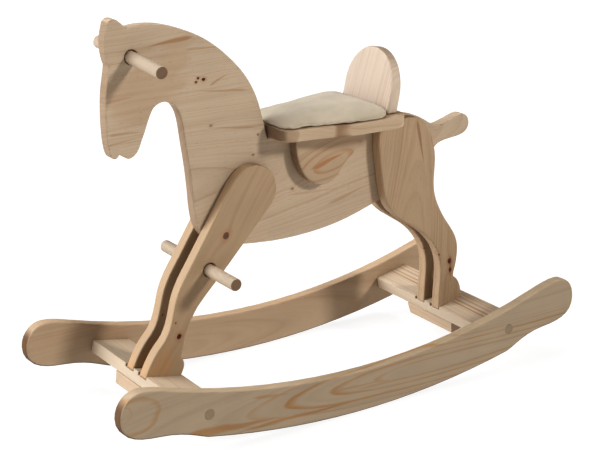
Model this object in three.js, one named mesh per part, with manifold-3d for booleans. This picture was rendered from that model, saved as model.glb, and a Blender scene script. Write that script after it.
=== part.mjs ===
// A child's rocking horse in solid pine, in millimetres.
// +X points forward, to the horse's nose; +Y to the horse's left; +Z up.
// The origin is on the floor, midway between the two rockers and below their lowest point.
//
// One flat panel makes the head, trunk and tail. Two pairs of legs are pinned to its sides
// and stand in shallow housings in two tilted cross planks, and the planks join the rockers.
import * as THREE from 'three';
import { mergeVertices } from 'three/addons/utils/BufferGeometryUtils.js';
import Module from 'manifold-3d';

const wasm = await Module();
wasm.setup();

// ---------------------------------------------------------------- driving dimensions
const BOARD = 20; // thickness of every board but the backrest
const CLEARANCE = 0.3; // air left round a pin, a screw or a foot in its housing

const ROCKER_LENGTH = 850;
const ROCKERS_WIDTH = 330; // over the rockers' outer faces
const SOLE_RADIUS = 1360; // the curve that the horse rocks on
const ROCKER_BACK_RADIUS = { front: 1190, rear: 1130 }; // the curve of a rocker's upper edge
const ROCKER_DEPTH = 67; // height of a rocker at its middle
const SOLE_FACETS = 15; // odd, so that the horse stands on a facet

const PLANK_WIDTH = 65;
const PLANK_TILT = THREE.MathUtils.degToRad(11.3); // follows the rocker's curve
// x and z are at the middle of the top face. A plank rises forward (1) or backward (-1), and
// its end screws stand off its middle line by screw.
const FRONT_PLANK = { x: 279.5, z: 75.6, rise: 1, screw: 0 };
const REAR_PLANK = { x: -278.5, z: 78, rise: -1, screw: -5 };
const HOUSING_DEPTH = 5; // how deep a foot stands in its plank
const HOUSING_SLACK = 1.2; // each housing is wider than the foot on its right-hand side
const BATTEN_LENGTH = 121;

const SEAT_UNDERSIDE = 412; // height of the horse's back
const SEAT_TOP = SEAT_UNDERSIDE + BOARD;
const SEAT_FRONT = 79;
const SEAT_REAR = -140;
const BACKREST_FOOT = -107; // where the backrest's front face meets the seat
const BACKREST_THICKNESS = 19;
const BACKREST_HALF_WIDTH = 62;
const BACKREST_SIDE = 30; // straight part of the side, below the arch
const BACKREST_ARCH = 67; // height of the elliptical arch
const BACKREST_RECLINE = THREE.MathUtils.degToRad(11.5);

const PAD_BASE_THICKNESS = 4;
const PAD_CROWN = 23; // height of the cushion's middle above the seat board

const DOWEL_RADIUS = 9.5; // handle and foot rest, 19 mm dowel
const DOWEL_HOLE_RADIUS = 10.5;
const DOWEL_DROP = 0.6; // a dowel lies at the bottom of its hole
const HANDLE = { x: 307, z: 564, from: -90, to: 99, droop: THREE.MathUtils.degToRad(3.5) };
const FOOTREST = { x: 197.5, z: 228.5, from: -106, to: 106, droop: 0 };

const PIN_RADIUS = 5; // fluted pins that join the legs and brackets to the panel
const PIN_DEPTH = 15; // how far a pin goes into each side board
const PLUG_RADIUS = 8;
const PLUG_THICKNESS = 5;
const SCREW_RADIUS = 2.5;
const SCREW_HEAD_RADIUS = 5;
const SCREW_HEAD_HEIGHT = 3.4;
const SCREW_CROSS = 5.4; // span of the cross recess in a screw's head
const SCREW_SLOT = 1.3; // width and depth of each of its arms

const CURVE_STEPS = 3; // straight steps between two points of a spline
const ROUND_SIDES = 28; // sides of a dowel
const SMALL_SIDES = 12; // sides of a pin, plug or screw

const panelFace = BOARD / 2;
const legMiddle = panelFace + BOARD / 2;
const legFace = panelFace + BOARD;
const rockerFace = ROCKERS_WIDTH / 2 - BOARD;

// ---------------------------------------------------------------- materials
const wood = (colour, roughness = 0.62) => () =>
  new THREE.MeshStandardMaterial({ color: colour, roughness, metalness: 0 });
const pine = wood(0xc9a982);
const palePine = wood(0xd8bf9f);
const warmPine = wood(0xc2996b);
const beech = wood(0xcdb08a, 0.55);
const plywood = wood(0xb79a72, 0.7);
const canvas = wood(0xb9b29c, 0.95);
const zincSteel = () =>
  new THREE.MeshStandardMaterial({ color: 0xb8bcc0, roughness: 0.35, metalness: 1 });

// ---------------------------------------------------------------- solids
const horse = new THREE.Group();
horse.name = 'rocking_horse';

function add(name, geometry, material, parent = horse) {
  const mesh = new THREE.Mesh(geometry, material());
  mesh.name = name;
  parent.add(mesh);
  return mesh;
}

function toManifold(geometry) {
  const bare = geometry.clone();
  bare.deleteAttribute('normal');
  bare.deleteAttribute('uv');
  const merged = mergeVertices(bare, 1e-4);
  const corners = [];
  for (let i = 0; i < merged.index.count; i += 3) {
    const [a, b, c] = [0, 1, 2].map((k) => merged.index.getX(i + k));
    if (a !== b && b !== c && c !== a) corners.push(a, b, c);
  }
  return new wasm.Manifold(new wasm.Mesh({
    numProp: 3,
    vertProperties: new Float32Array(merged.attributes.position.array),
    triVerts: new Uint32Array(corners),
  }));
}

function toGeometry(manifold) {
  const { vertProperties, triVerts } = manifold.getMesh();
  const geometry = new THREE.BufferGeometry();
  geometry.setAttribute('position', new THREE.BufferAttribute(vertProperties, 3));
  geometry.setIndex(new THREE.BufferAttribute(triVerts, 1));
  return geometry;
}

// Cuts the given geometries, which are placed in the horse's frame, out of a mesh.
function cut(mesh, cutters) {
  mesh.updateWorldMatrix(true, false);
  const toMesh = mesh.matrixWorld.clone().invert();
  const remainder = cutters.reduce(
    (solid, cutter) => solid.subtract(toManifold(cutter.clone().applyMatrix4(toMesh))),
    toManifold(mesh.geometry),
  );
  mesh.geometry = toGeometry(remainder);
}

// Stands a geometry made along +Z on a point, with +Z turned to a direction.
function pointed(geometry, origin, direction) {
  const turn = new THREE.Quaternion().setFromUnitVectors(
    new THREE.Vector3(0, 0, 1),
    direction.clone().normalize(),
  );
  const placed = geometry.clone().applyQuaternion(turn);
  return placed.translate(origin.x, origin.y, origin.z);
}

// A turned solid along +Z. The profile's points are [radius, height], from the bottom up.
function turned(profile, sides) {
  const points = profile.map(([radius, height]) => new THREE.Vector2(radius, height));
  return new THREE.LatheGeometry(points, sides).rotateX(Math.PI / 2);
}

function rod(radius, length, sides, chamfer = 0) {
  if (chamfer === 0) return turned([[0, 0], [radius, 0], [radius, length], [0, length]], sides);
  return turned([
    [0, 0], [radius - chamfer, 0], [radius, chamfer],
    [radius, length - chamfer], [radius - chamfer, length], [0, length],
  ], sides);
}

// A rod across the horse, centred on y.
function crossRod(radius, length, sides, x, y, z) {
  const start = new THREE.Vector3(x, y - length / 2, z);
  return pointed(rod(radius, length, sides), start, new THREE.Vector3(0, 1, 0));
}

// A countersunk screw with its head's top at the origin and its tip along +Z.
function screwShape(length) {
  const taper = 6;
  return turned([
    [0, 0], [SCREW_HEAD_RADIUS, 0], [SCREW_HEAD_RADIUS, 0.6],
    [SCREW_RADIUS, SCREW_HEAD_HEIGHT], [SCREW_RADIUS, length - taper], [0, length],
  ], SMALL_SIDES);
}

// Adds a screw with its head's top at head, and sinks a cross recess in the head.
function addScrew(name, head, direction, length) {
  const screw = add(name, pointed(screwShape(length), head, direction), zincSteel);
  const slot = new THREE.BoxGeometry(SCREW_SLOT, SCREW_CROSS, 2 * SCREW_SLOT);
  cut(screw, [
    pointed(slot, head, direction),
    pointed(slot.clone().rotateZ(Math.PI / 2), head, direction),
  ]);
}

// The hole that such a screw goes in, open behind its head.
function screwHole(length) {
  const head = SCREW_HEAD_RADIUS + CLEARANCE;
  const shank = SCREW_RADIUS + CLEARANCE;
  const tip = length + CLEARANCE;
  return turned([
    [0, -4], [head, -4], [head, 0.6 + CLEARANCE], [shank, SCREW_HEAD_HEIGHT + CLEARANCE],
    [shank, tip], [0, tip],
  ], SMALL_SIDES);
}

// An outline in the horse's side view, extruded across the horse about y = 0.
function sideBoard(shape, thickness = BOARD) {
  return new THREE.ExtrudeGeometry(shape, {
    depth: thickness,
    bevelEnabled: false,
    curveSegments: CURVE_STEPS,
  }).rotateX(Math.PI / 2).translate(0, thickness / 2, 0);
}

const vectors = (points) => points.map(([a, b]) => new THREE.Vector2(a, b));

// An outline made of smooth runs that meet at corners. Each run continues from the last point.
function outline(start, runs) {
  const shape = new THREE.Shape();
  shape.moveTo(...start);
  for (const run of runs) {
    if (run.length === 1) shape.lineTo(...run[0]);
    else shape.splineThru(vectors(run));
  }
  return shape;
}

// A point given in a plank's own section: along its width, and above its top face.
function onPlank(plank, along, above) {
  const run = along * Math.cos(PLANK_TILT) - plank.rise * above * Math.sin(PLANK_TILT);
  const climb = plank.rise * along * Math.sin(PLANK_TILT) + above * Math.cos(PLANK_TILT);
  return [plank.x + run, plank.z + climb];
}

// ---------------------------------------------------------------- rockers
// Height above its lowest point of an arc whose middle is at x = 0.
const rise = (radius, x) => radius - Math.sqrt(radius ** 2 - x ** 2);

function rockerOutline() {
  const sole = 283; // half the length of the sole's arc
  const back = 345; // half the length of the upper arc
  const waist = 362; // where the underside is nearly straight
  const end = ROCKER_LENGTH / 2;
  const middleFacet = rise(SOLE_RADIUS, sole / SOLE_FACETS); // lies flat on the floor
  const soleHeight = (x) => rise(SOLE_RADIUS, x) - middleFacet;
  const backHeight = (x, radius) => ROCKER_DEPTH + rise(radius, x);
  const arc = (height, from, to, steps) =>
    Array.from({ length: steps + 1 }, (_, i) => {
      const x = from + ((to - from) * i) / steps;
      return new THREE.Vector2(x, height(x));
    });
  const bezier = (steps, ...points) =>
    new THREE.CubicBezierCurve(...vectors(points)).getPoints(steps).slice(1);
  // From the sole, in to a waist, round a knob and back to the upper arc.
  const knobCurve = ({ waistHeight, nose, crest, crestHeight, radius }) => [
    ...bezier(6, [sole, soleHeight(sole)], [302, 36], [322, waistHeight - 3],
      [waist, waistHeight]),
    ...bezier(7, [waist, waistHeight], [399, waistHeight + 2.5], [end, nose - 29], [end, nose]),
    ...bezier(7, [end, nose], [end, nose + 21], [crest + 18, crestHeight], [crest, crestHeight]),
    ...bezier(4, [crest, crestHeight], [crest - 14, crestHeight],
      [back + 15, backHeight(back, radius) + 4.7], [back, backHeight(back, radius)]),
  ];
  const front = knobCurve({
    waistHeight: 51, nose: 90, crest: 391, crestHeight: 127.5, radius: ROCKER_BACK_RADIUS.front,
  });
  const rear = knobCurve({
    waistHeight: 56, nose: 96, crest: 395, crestHeight: 132, radius: ROCKER_BACK_RADIUS.rear,
  });
  return new THREE.Shape([
    ...arc(soleHeight, -sole, sole, SOLE_FACETS),
    ...front,
    ...arc((x) => backHeight(x, ROCKER_BACK_RADIUS.front), back, 0, 8).slice(1),
    ...arc((x) => backHeight(x, ROCKER_BACK_RADIUS.rear), 0, -back, 8).slice(1, -1),
    ...rear.map((p) => new THREE.Vector2(-p.x, p.y)).reverse(),
  ]);
}

const planks = { front: FRONT_PLANK, rear: REAR_PLANK };
const sides = { left: 1, right: -1 };

// The screw through a rocker into the end of a plank, with a wooden plug over its head.
const PLANK_SCREW_LENGTH = 50;
const plankScrewPlace = (plank, side) => {
  const [x, z] = onPlank(plank, plank.screw, -BOARD / 2);
  return new THREE.Vector3(x, side * (ROCKERS_WIDTH / 2 - PLUG_THICKNESS - CLEARANCE), z);
};

for (const [sideName, side] of Object.entries(sides)) {
  const rocker = add(`rocker_${sideName}`, sideBoard(rockerOutline()), pine);
  rocker.position.y = side * (rockerFace + BOARD / 2);
  const inward = new THREE.Vector3(0, -side, 0);
  for (const [plankName, plank] of Object.entries(planks)) {
    const start = plankScrewPlace(plank, side);
    const outside = start.clone().addScaledVector(inward, -20);
    const recess = 20 + SCREW_HEAD_HEIGHT;
    cut(rocker, [
      pointed(rod(PLUG_RADIUS + CLEARANCE, recess, SMALL_SIDES), outside, inward),
      pointed(rod(SCREW_RADIUS + CLEARANCE, 60, SMALL_SIDES), start, inward),
    ]);
    addScrew(`plank_screw_${plankName}_${sideName}`, start, inward, PLANK_SCREW_LENGTH);
    const plugStart = start.clone().addScaledVector(inward, -CLEARANCE);
    add(`rocker_plug_${plankName}_${sideName}`,
      pointed(rod(PLUG_RADIUS, PLUG_THICKNESS, SMALL_SIDES), plugStart, inward.clone().negate()),
      warmPine);
  }
}

// ---------------------------------------------------------------- cross planks and battens
// How far each pair of feet reaches back along its plank, from the plank's front edge.
const FOOT_LENGTH = { front: 62, rear: 49 };
const FOOT_SCREW_LENGTH = 66;
const frontEdge = PLANK_WIDTH / 2;
const RELIEF_RADIUS = 3.2; // round relief at each housing's front corner

const footPilots = { front: {}, rear: {} }; // the screw holes that go on up into the feet

for (const [plankName, plank] of Object.entries(planks)) {
  const frame = new THREE.Group();
  frame.position.set(plank.x, 0, plank.z);
  frame.rotation.y = -plank.rise * PLANK_TILT;
  horse.add(frame);

  const plankMesh = add(`${plankName}_cross_plank`,
    new THREE.BoxGeometry(PLANK_WIDTH, 2 * rockerFace, BOARD), palePine, frame);
  plankMesh.position.z = -BOARD / 2;

  const battenTop = -BOARD - CLEARANCE;
  const half = BATTEN_LENGTH / 2;
  const batten = add(`${plankName}_batten`, new THREE.ExtrudeGeometry(
    outline([-half, 0], [[[half, 0]], [[half - 4, -BOARD]], [[-half + 4, -BOARD]]]),
    { depth: PLANK_WIDTH, bevelEnabled: false },
  ).rotateX(Math.PI / 2).rotateZ(Math.PI / 2), pine, frame);
  batten.position.set(-frontEdge, 0, battenTop);

  frame.updateWorldMatrix(true, true);
  const footLength = FOOT_LENGTH[plankName];
  const upward = new THREE.Vector3(0, 0, 1).transformDirection(frame.matrixWorld);
  for (const [sideName, side] of Object.entries(sides)) {
    // The housing is open at the plank's front edge.
    const depth = HOUSING_DEPTH + CLEARANCE;
    const reach = footLength + CLEARANCE + 2;
    const width = BOARD + HOUSING_SLACK + CLEARANCE;
    const rightWall = side * legMiddle - BOARD / 2 - HOUSING_SLACK;
    const housing = new THREE.BoxGeometry(reach, width, 2 * depth)
      .translate(frontEdge + 2 - reach / 2, rightWall + width / 2, 0);
    const relief = rod(RELIEF_RADIUS, 2 * depth, SMALL_SIDES)
      .translate(frontEdge - 1.5, rightWall, -depth);

    const screwFoot = new THREE.Vector3(
      frontEdge - footLength / 2, side * legMiddle, battenTop - BOARD + 0.5,
    ).applyMatrix4(frame.matrixWorld);
    const pilot = pointed(screwHole(FOOT_SCREW_LENGTH), screwFoot, upward);
    const inward = new THREE.Vector3(0, -side, 0);
    const endPilot = pointed(rod(SCREW_RADIUS + CLEARANCE, PLANK_SCREW_LENGTH + 1, SMALL_SIDES),
      plankScrewPlace(plank, side), inward);
    cut(plankMesh, [
      housing.applyMatrix4(frame.matrixWorld),
      relief.applyMatrix4(frame.matrixWorld),
      pilot,
      endPilot,
    ]);
    cut(batten, [pilot]);
    addScrew(`foot_screw_${plankName}_${sideName}`, screwFoot, upward, FOOT_SCREW_LENGTH);
    footPilots[plankName][sideName] = pilot;
  }
}

// ---------------------------------------------------------------- panel: head, trunk and tail
const bodyOutline = outline([342, 617], [
  // forelock and forehead, down to the notch
  [[345.5, 604], [348, 590], [347.5, 576], [345.5, 564], [342.5, 555]],
  // face, down to the front of the upper lip
  [[344.3, 543], [348.3, 520], [350, 499], [350.5, 476], [349.8, 456], [347.8, 437],
    [343.5, 422.8], [336.5, 419.3], [330, 425]],
  // lower lip, jaw, throat and chest
  [[324, 420.5], [316, 416.3], [307, 419.3], [299.5, 427.5], [294, 440], [287.5, 455], [281, 471.5],
    [272.5, 486], [257, 492.3], [241.5, 486.5], [232, 474], [226.8, 456], [222.3, 425],
    [217, 390], [213, 354], [210.5, 322], [205, 294], [191, 271.5], [168, 258.5], [140, 252.5]],
  // belly
  [[105, 248.3], [65, 245.3], [25, 245.3], [-20, 248.5], [-65, 256], [-110, 268.5], [-155, 283.5],
    [-195, 294], [-222, 304], [-234, 321]],
  // buttock and the underside of the tail
  [[-238.5, 336], [-246, 348.5], [-258, 354.8], [-277, 357.8], [-297, 360], [-309.5, 365],
    [-316, 376], [-312.8, 389], [-302.5, 395.3], [-288.5, 393.5], [-270, 388], [-253, 383.8],
    [-241.5, 385.5]],
  // rump
  [[-231, 391.5], [-219, 399], [-204, 406.5], [-184, SEAT_UNDERSIDE]],
  [[SEAT_FRONT + 1, SEAT_UNDERSIDE]],
  // back of the neck and crest of the mane, up to the ear
  [[84.5, 430], [89.8, 451], [97.5, 475.5], [107.5, 497], [122, 519], [143.5, 542.5],
    [169, 564.5], [197, 582.5], [228, 596], [260, 605], [289, 607.8], [312, 605.8]],
  [[320, 612.5], [328, 619], [336, 621]],
]);
const body = add('horse_body', sideBoard(bodyOutline), pine);

// ---------------------------------------------------------------- legs
const toeFront = onPlank(FRONT_PLANK, frontEdge, 0);
const heelFront = frontEdge - FOOT_LENGTH.front;
const frontLegOutline = outline(onPlank(FRONT_PLANK, frontEdge, -HOUSING_DEPTH), [
  [toeFront],
  // shin, forearm and shoulder
  [[303, 99], [291, 117], [276.5, 133.5], [267.5, 151], [261.5, 172], [255.5, 195], [244, 219],
    [226, 247], [204, 281.5], [178.5, 321], [163, 344], [149, 363.5], [134, 375], [116, 379],
    [98, 374.5], [84.5, 362.5], [77.5, 346.5], [77, 329.5], [84.5, 314]],
  // straight back of the leg, down to the knee
  [[100, 297.5], [135, 260.5], [171, 223], [203, 191], [219, 174]],
  [[229.5, 158], [237, 142], [242.5, 125], [247, 109], [249.5, 100.5]],
  // hoof
  [[245.5, 92], [245, 82.5], onPlank(FRONT_PLANK, heelFront, 0)],
  [onPlank(FRONT_PLANK, heelFront, -HOUSING_DEPTH)],
]);

const toeHind = onPlank(REAR_PLANK, frontEdge, 0);
const heelHind = frontEdge - FOOT_LENGTH.rear;
const hindLegOutline = outline(onPlank(REAR_PLANK, frontEdge, -HOUSING_DEPTH), [
  [toeHind],
  // front of the hoof and shank, the thigh, and up to the seat
  [[-247.5, 96], [-249, 117], [-249, 138], [-245.5, 160], [-236.5, 180.5], [-223, 198], [-205, 214],
    [-182, 229.5], [-158, 246], [-140.5, 264], [-131, 283], [-126, 305], [-122, 330], [-118.5, 354],
    [-116.5, 376], [-117.5, 395], [-120, SEAT_UNDERSIDE]],
  [[-176, SEAT_UNDERSIDE]],
  // hip, buttock, hock and back of the shank
  [[-190, 409.5], [-201, 403.5], [-210, 395], [-217.5, 384], [-224, 370], [-228.8, 354], [-231.3, 336],
    [-230.8, 316], [-230, 296], [-232.6, 275], [-240.8, 253], [-254, 230], [-269, 209], [-279, 192.5],
    [-283.8, 176], [-284, 159], [-281.5, 142], [-278, 129], [-277.5, 121.5]],
  [[-285, 115.5], [-291, 105.5], [-294, 95], onPlank(REAR_PLANK, heelHind, 0)],
  [onPlank(REAR_PLANK, heelHind, -HOUSING_DEPTH)],
]);

const legs = {
  front: { shape: frontLegOutline, name: 'front_leg' },
  rear: { shape: hindLegOutline, name: 'hind_leg' },
};
const legMeshes = { front: [], rear: [] };
for (const [end, leg] of Object.entries(legs)) {
  for (const [sideName, side] of Object.entries(sides)) {
    const mesh = add(`${leg.name}_${sideName}`, sideBoard(leg.shape), warmPine);
    mesh.position.y = side * legMiddle;
    cut(mesh, [footPilots[end][sideName]]);
    legMeshes[end].push(mesh);
  }
}

// ---------------------------------------------------------------- seat, brackets and backrest
// The seat board's left half in plan, drawn in from its edge by inset. It widens behind the
// rider's knees. rear is where its rear edge is before it is drawn in.
function seatOutline(inset, rear) {
  const corner = 24 - inset;
  const front = SEAT_FRONT - inset;
  const back = rear + inset;
  const nose = 58 - inset;
  const wide = 78.5 - inset;
  const quarter = (x, y, from) =>
    new THREE.EllipseCurve(x, y, corner, corner, from, from + Math.PI / 2).getPoints(5);
  const flare = [[front - corner, nose], [30, 60.5 - inset], [3, 66 - inset], [-25, 74 - inset],
    [-52, wide - 0.7], [back + corner, wide]];
  const half = [
    ...quarter(front - corner, nose - corner, 0),
    ...new THREE.SplineCurve(vectors(flare)).getPoints(14).slice(1),
    ...quarter(back + corner, wide - corner, Math.PI / 2).slice(1),
  ];
  return [...half, ...half.map((p) => new THREE.Vector2(p.x, -p.y)).reverse()];
}
const seatBoard = add('seat_board', new THREE.ExtrudeGeometry(
  new THREE.Shape(seatOutline(0, SEAT_REAR)), { depth: BOARD, bevelEnabled: false },
), palePine);
seatBoard.position.z = SEAT_UNDERSIDE;

const bracketOutline = outline([41, SEAT_UNDERSIDE], [
  [[41, 395]],
  [[38.5, 378], [33.5, 362.5], [25.5, 348.5], [14, 337], [0.5, 329.5], [-13.5, 327.3],
    [-26.5, 330.3], [-37.5, 338], [-47, 350.5], [-59, 363], [-75, 376.5], [-90, 392],
    [-101, SEAT_UNDERSIDE]],
]);
const brackets = Object.entries(sides).map(([sideName, side]) => {
  const mesh = add(`seat_bracket_${sideName}`, sideBoard(bracketOutline), warmPine);
  mesh.position.y = side * legMiddle;
  return mesh;
});

const backrestShape = new THREE.Shape();
backrestShape.moveTo(BACKREST_HALF_WIDTH, 0);
backrestShape.lineTo(BACKREST_HALF_WIDTH, BACKREST_SIDE);
backrestShape.absellipse(0, BACKREST_SIDE, BACKREST_HALF_WIDTH, BACKREST_ARCH, 0, Math.PI, false, 0);
backrestShape.lineTo(-BACKREST_HALF_WIDTH, 0);
const backrest = add('backrest', new THREE.ExtrudeGeometry(backrestShape, {
  depth: BACKREST_THICKNESS,
  bevelEnabled: false,
  curveSegments: 16,
}).rotateX(Math.PI / 2).rotateZ(Math.PI / 2), palePine);
backrest.rotation.y = -BACKREST_RECLINE;
backrest.position.set(
  BACKREST_FOOT - BACKREST_THICKNESS * Math.cos(BACKREST_RECLINE),
  0,
  SEAT_TOP + CLEARANCE - BACKREST_THICKNESS * Math.sin(BACKREST_RECLINE),
);
// Its foot is cut level, to stand on the seat board.
const belowSeatTop = new THREE.BoxGeometry(100, 200, 50)
  .translate(BACKREST_FOOT, 0, SEAT_TOP + CLEARANCE - 25);
cut(backrest, [belowSeatTop]);

// ---------------------------------------------------------------- cushion
const padRear = BACKREST_FOOT + 1.5; // stops just short of the backrest
const padBase = add('seat_pad_base', new THREE.ExtrudeGeometry(
  new THREE.Shape(seatOutline(9, padRear)), { depth: PAD_BASE_THICKNESS, bevelEnabled: false },
), plywood);
padBase.position.z = SEAT_TOP;

// Stacked outlines joined into one skin, from the roof of the pocket that the base sits in,
// round the rim and up over the dome. The dome is lower towards its front, and its rear
// stands up against the backrest.
function cushionGeometry() {
  const foot = CLEARANCE;
  const pocket = PAD_BASE_THICKNESS + CLEARANCE;
  // how far each outline is drawn in from the rim, and its height above the seat board
  const layers = [
    [7.6, pocket], [7.6, foot], [3, foot], [0.6, 2.5], [0, 5], [1.5, 7.3],
    [6, 9.2], [14, 12.3], [27, 16.8], [42, PAD_CROWN - 2.2],
  ];
  const rim = seatOutline(0, padRear);
  const middle = new THREE.Vector2(-16, 0);
  const { smoothstep } = THREE.MathUtils;
  const lowered = (x) => 1 - 0.32 * smoothstep(x, -25, SEAT_FRONT - 10);
  const raised = (x, y) => 6 * smoothstep(-x, 55, 98) * (1 - (y / 80) ** 2);
  const positions = [];
  for (const [inset, height] of layers) {
    for (const point of rim) {
      const reach = point.distanceTo(middle);
      const drawn = point.clone().sub(middle).multiplyScalar((reach - inset) / reach).add(middle);
      const { x, y } = drawn;
      const z = height > pocket
        ? pocket + (height - pocket) * lowered(x) + raised(x, y)
        : height;
      positions.push(x, y, SEAT_TOP + z);
    }
  }
  positions.push(middle.x, middle.y, SEAT_TOP + pocket);
  positions.push(middle.x, middle.y, SEAT_TOP + PAD_CROWN);
  const count = rim.length;
  const roof = layers.length * count;
  const top = roof + 1;
  const index = [];
  for (let i = 0; i < count; i += 1) {
    const next = (i + 1) % count;
    index.push(roof, next, i);
    for (let layer = 0; layer < layers.length - 1; layer += 1) {
      const [a, b] = [layer * count + i, layer * count + next];
      index.push(a, b, b + count, a, b + count, a + count);
    }
    const last = (layers.length - 1) * count;
    index.push(last + i, last + next, top);
  }
  const geometry = new THREE.BufferGeometry();
  geometry.setAttribute('position', new THREE.Float32BufferAttribute(positions, 3));
  geometry.setIndex(index);
  return geometry;
}
add('seat_cushion', cushionGeometry(), canvas);

// ---------------------------------------------------------------- handle and foot rest
// The dowel runs across the horse between from and to. Its left end hangs lower than its
// right by the angle of its droop.
function dowelThrough(boards, { x, z, from, to, droop }) {
  const across = (radius, start, length, height, chamfer) =>
    rod(radius, length, ROUND_SIDES, chamfer)
      .translate(0, 0, start).rotateX(-Math.PI / 2 - droop).translate(x, 0, height);
  const hole = across(DOWEL_HOLE_RADIUS, -50, 100, z + DOWEL_DROP, 0);
  for (const board of boards) cut(board, [hole]);
  return across(DOWEL_RADIUS, from, to - from, z, 1);
}
add('handle_dowel', dowelThrough([body], HANDLE), beech);
add('footrest_dowel', dowelThrough(legMeshes.front, FOOTREST), beech);

// ---------------------------------------------------------------- pins through the panel
function crossPin(name, boards, x, z) {
  const length = BOARD + 2 * PIN_DEPTH;
  const hole = crossRod(PIN_RADIUS + CLEARANCE, length + 2 * CLEARANCE, SMALL_SIDES, x, 0, z);
  for (const board of boards) cut(board, [hole]);
  add(name, crossRod(PIN_RADIUS, length, SMALL_SIDES, x, 0, z), beech);
}
crossPin('front_leg_pin_upper', [body, ...legMeshes.front], 118, 339);
crossPin('front_leg_pin_lower', [body, ...legMeshes.front], 165, 286);
crossPin('hind_leg_pin_upper', [body, ...legMeshes.rear], -170, 379);
crossPin('hind_leg_pin_middle', [body, ...legMeshes.rear], -155, 329);
crossPin('hind_leg_pin_lower', [body, ...legMeshes.rear], -205, 324);
crossPin('bracket_pin_front', [body, ...brackets], 15, 376);
crossPin('bracket_pin_rear', [body, ...brackets], -32, 364);

// ---------------------------------------------------------------- seat and backrest screws
const down = new THREE.Vector3(0, 0, -1);
const up = new THREE.Vector3(0, 0, 1);
function screwInto(name, boards, head, direction, length) {
  for (const board of boards) cut(board, [pointed(screwHole(length), head, direction)]);
  addScrew(name, head, direction, length);
}
const SEAT_SCREW_LENGTH = 45;
const seatHead = SEAT_TOP - CLEARANCE;
screwInto('seat_screw_front', [seatBoard, body],
  new THREE.Vector3(52, 0, seatHead), down, SEAT_SCREW_LENGTH);
screwInto('seat_screw_rear', [seatBoard, body],
  new THREE.Vector3(-88, 0, seatHead), down, SEAT_SCREW_LENGTH);
brackets.forEach((bracket, i) => {
  const [sideName, side] = Object.entries(sides)[i];
  screwInto(`bracket_screw_${sideName}`, [seatBoard, bracket],
    new THREE.Vector3(-12, side * legMiddle, seatHead), down, 40);
  screwInto(`backrest_screw_${sideName}`, [seatBoard, backrest],
    new THREE.Vector3(BACKREST_FOOT - 8, side * 42, SEAT_UNDERSIDE + CLEARANCE), up, 40);
});

export default horse;
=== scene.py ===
"""A child's pine rocking horse: boards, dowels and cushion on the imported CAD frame."""
import math

import bmesh
import bpy
import numpy as np
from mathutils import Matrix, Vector, noise
from mathutils.bvhtree import BVHTree


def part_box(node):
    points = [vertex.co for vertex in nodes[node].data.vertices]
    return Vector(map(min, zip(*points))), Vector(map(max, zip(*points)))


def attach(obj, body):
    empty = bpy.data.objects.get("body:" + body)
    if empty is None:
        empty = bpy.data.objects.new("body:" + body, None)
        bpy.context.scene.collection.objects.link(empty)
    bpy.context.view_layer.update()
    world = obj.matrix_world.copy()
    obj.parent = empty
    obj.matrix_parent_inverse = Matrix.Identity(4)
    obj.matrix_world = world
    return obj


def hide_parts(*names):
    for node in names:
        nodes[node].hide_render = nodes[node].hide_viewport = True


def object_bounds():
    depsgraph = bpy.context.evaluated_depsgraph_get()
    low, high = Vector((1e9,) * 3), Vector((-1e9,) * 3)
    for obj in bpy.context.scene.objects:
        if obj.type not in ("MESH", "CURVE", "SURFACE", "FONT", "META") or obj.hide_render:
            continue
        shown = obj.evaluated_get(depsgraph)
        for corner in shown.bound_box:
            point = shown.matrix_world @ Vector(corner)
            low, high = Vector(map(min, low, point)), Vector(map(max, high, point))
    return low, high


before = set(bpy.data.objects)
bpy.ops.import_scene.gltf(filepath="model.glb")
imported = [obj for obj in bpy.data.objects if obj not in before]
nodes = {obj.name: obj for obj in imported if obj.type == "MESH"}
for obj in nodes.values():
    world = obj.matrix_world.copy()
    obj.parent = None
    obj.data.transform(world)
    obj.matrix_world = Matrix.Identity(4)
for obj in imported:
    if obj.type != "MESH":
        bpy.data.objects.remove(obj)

cad_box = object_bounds()
MM = 0.001
PLANK_TILT = math.radians(11.3)


# ------------------------------------------------------------------ node-tree helper
def linear(rgb):
    """An sRGB colour of 0 to 255 as linear RGBA."""
    out = []
    for channel in rgb:
        c = channel / 255
        out.append(c / 12.92 if c <= 0.04045 else ((c + 0.055) / 1.055) ** 2.4)
    return (*out, 1.0)


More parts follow.
